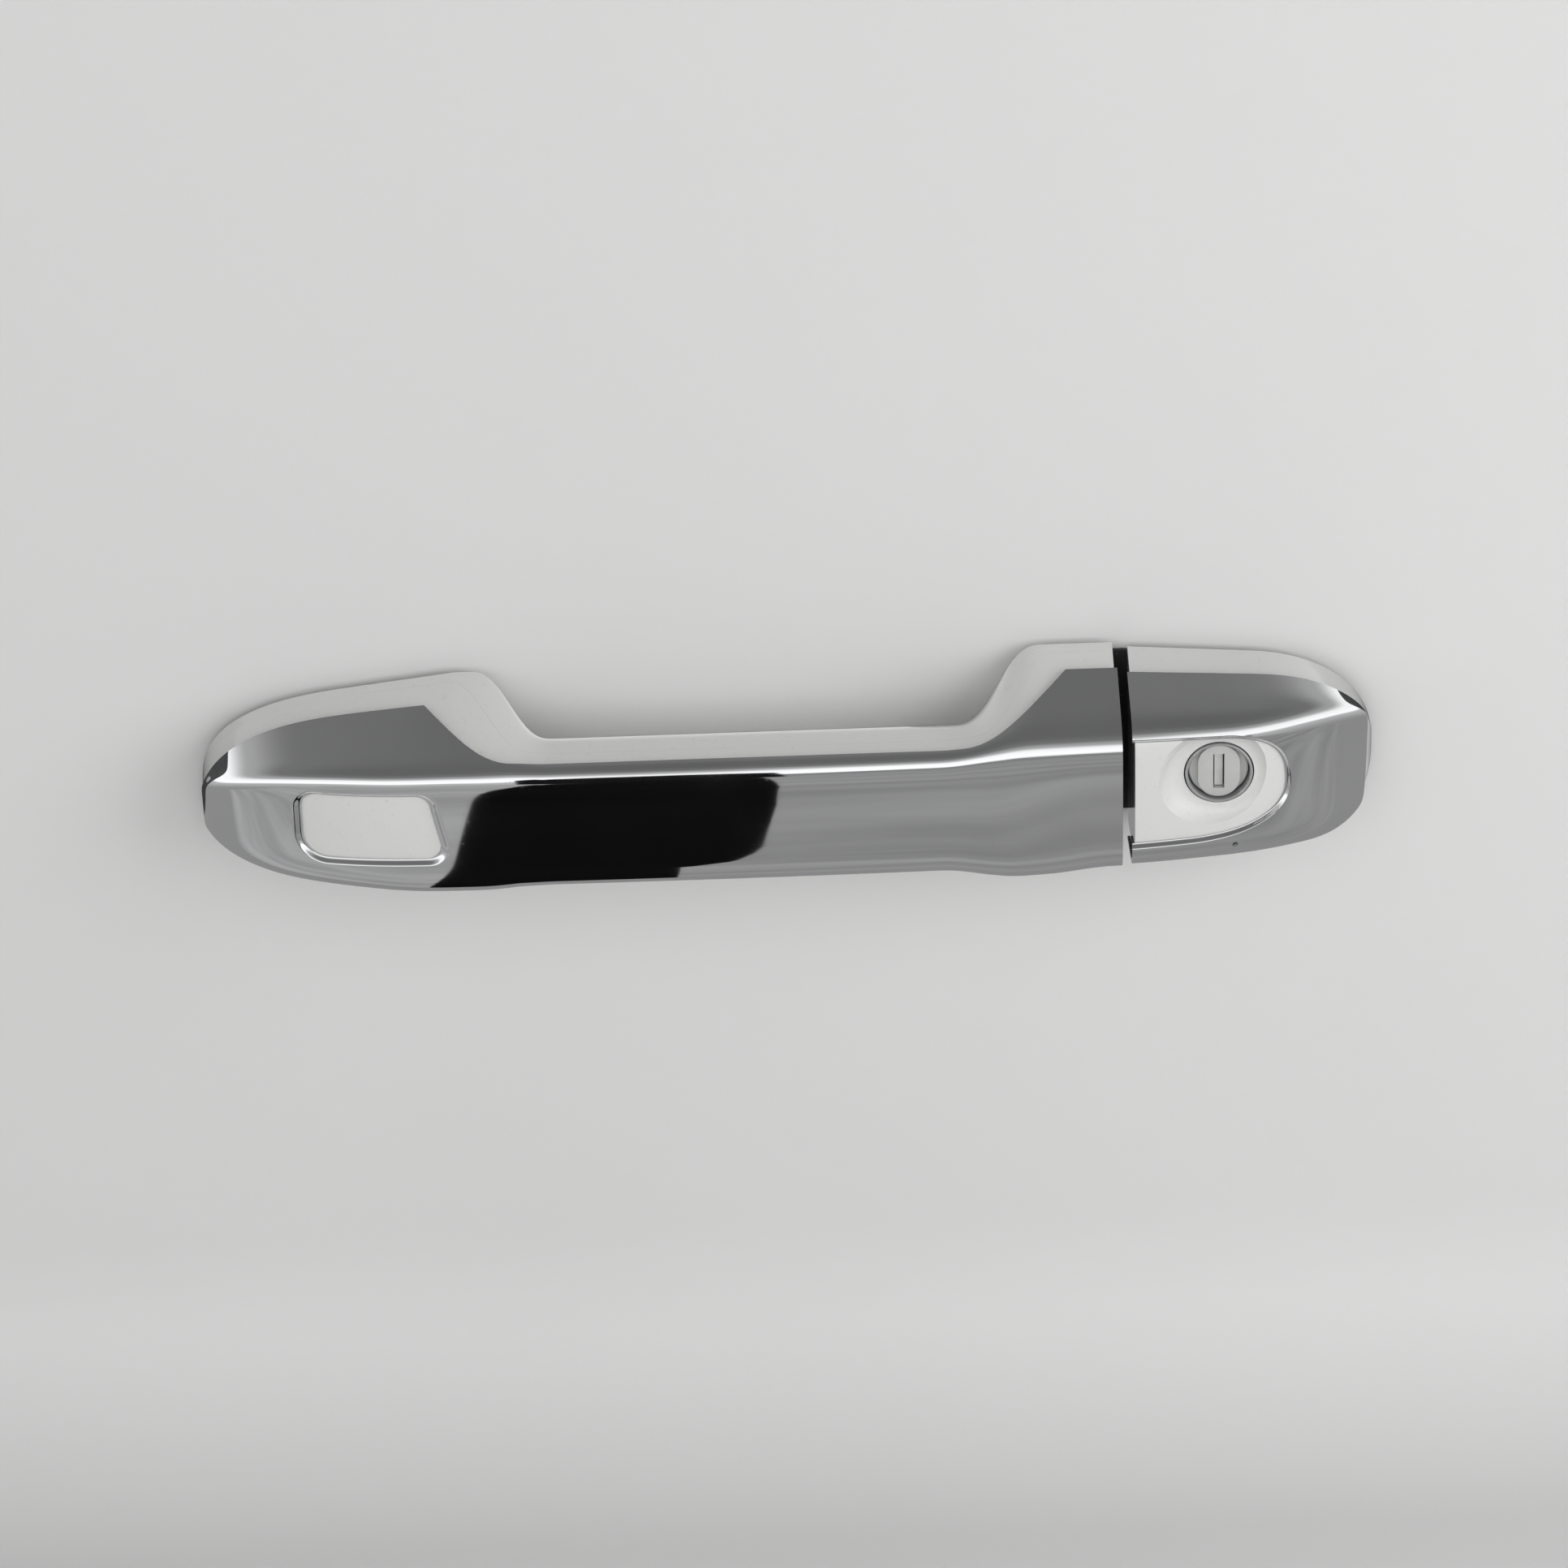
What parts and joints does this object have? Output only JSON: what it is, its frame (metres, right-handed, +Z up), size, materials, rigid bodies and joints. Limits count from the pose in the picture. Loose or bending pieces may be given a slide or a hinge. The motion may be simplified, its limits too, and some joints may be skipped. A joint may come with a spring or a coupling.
{
  "type": "car door handle",
  "caption": "Outside pull-strap car door handle: chrome-covered grip on a front hinge, fixed end cap with key cylinder, and the carrier with its bell crank behind the skin.",
  "frame": {"origin": "on the outer face of the carrier at the line between grip and end cap, mid-height of the grip, where the carrier bears on the inside of the door skin", "axes": "+X towards the rear of the car along the handle, -Y outward from the door, +Z up"},
  "size_m": [0.28, 0.0771, 0.0679],
  "materials": {
    "chrome_cover": "bright chrome, mirror polished",
    "white_paint": "gloss pearl white paint on plastic",
    "black_nylon": "moulded glass-filled nylon, fine grain",
    "grey_nylon": "moulded nylon, semi-matt",
    "white_clip": "natural nylon clip",
    "pad_rubber": "matt black rubber",
    "tape": "red-lined foam tape",
    "steel": "zinc-plated steel",
    "spring_steel": "oiled spring steel",
    "cast_zinc": "die-cast zinc, satin",
    "lock_face": "satin nickel"
  },
  "bodies": {
    "chassis": {"carrier_frame": "black_nylon", "hinge_pin": "steel", "crank_pin": "steel", "front_pad": "pad_rubber", "rear_pad": "pad_rubber", "end_cap": "white_paint", "end_cap_chrome_cover": "chrome_cover", "cap_cover_tape": "tape", "fixing_screw": "steel", "frame_bolt_front": "steel", "frame_bolt_rear": "steel", "lock_housing": "cast_zinc", "cylinder_seal": "pad_rubber"},
    "grip": {"grip_outer_shell": "white_paint", "grip_inner_shell": "white_paint", "grip_chrome_cover": "chrome_cover", "cover_tape_front": "tape", "cover_tape_rear": "tape", "touch_sensor": "black_nylon", "antenna_bar": "black_nylon", "shell_screw_front": "steel", "shell_screw_rear": "steel"},
    "crank": {"bell_crank": "grey_nylon", "finger_bar": "steel", "finger_sleeve": "pad_rubber", "counterweight": "cast_zinc", "weight_rivet": "steel", "crank_spring": "spring_steel"},
    "latch_clip": {"latch_rod_clip": "white_clip"},
    "key_plug": {"lock_plug": "lock_face", "lock_tail_lever": "steel", "tail_clip": "spring_steel"},
    "lock_clip": {"lock_rod_clip": "white_clip"},
    "shutter": {"key_shutter": "lock_face"}
  },
  "joints": [
    {"name": "grip_pull", "type": "hinge", "parent": "chassis", "child": "grip", "pos_m": [-0.189, 0.009, 0], "axis": [0, 0, -1], "range_deg": [0, 8.4], "stiffness_Nm_per_rad": 20, "springref_deg": -4.58},
    {"name": "crank_turn", "type": "hinge", "parent": "chassis", "child": "crank", "pos_m": [-0.017, 0.022, -0.022], "axis": [1, 0, 0], "range_deg": [0, 50.5]},
    {"name": "latch_rod_pivot", "type": "hinge", "parent": "crank", "child": "latch_clip", "pos_m": [-0.0342, 0.0419, -0.0313], "axis": [1, 0, 0], "range_deg": [-50.5, 0]},
    {"name": "key_turn", "type": "hinge", "parent": "chassis", "child": "key_plug", "pos_m": [0.0184, 0, 0.0049], "axis": [0, 1, 0], "range_deg": [-45, 45], "stiffness_Nm_per_rad": 0.05},
    {"name": "lock_rod_pivot", "type": "hinge", "parent": "key_plug", "child": "lock_clip", "pos_m": [0.0184, 0.0374, -0.0121], "axis": [0, 1, 0], "range_deg": [-45.5, 45.5]},
    {"name": "shutter_swing", "type": "hinge", "parent": "key_plug", "child": "shutter", "pos_m": [0.0184, -0.0226, 0.0083], "axis": [1, 0, 0], "range_deg": [0, 75], "stiffness_Nm_per_rad": 0.0004, "springref_deg": -22.92}
  ],
  "couplings": [
    {"joint": "crank_turn", "follows": "grip_pull", "ratio": 5.95},
    {"joint": "latch_rod_pivot", "follows": "grip_pull", "ratio": -5.95},
    {"joint": "lock_rod_pivot", "follows": "key_turn", "ratio": -1}
  ]
}
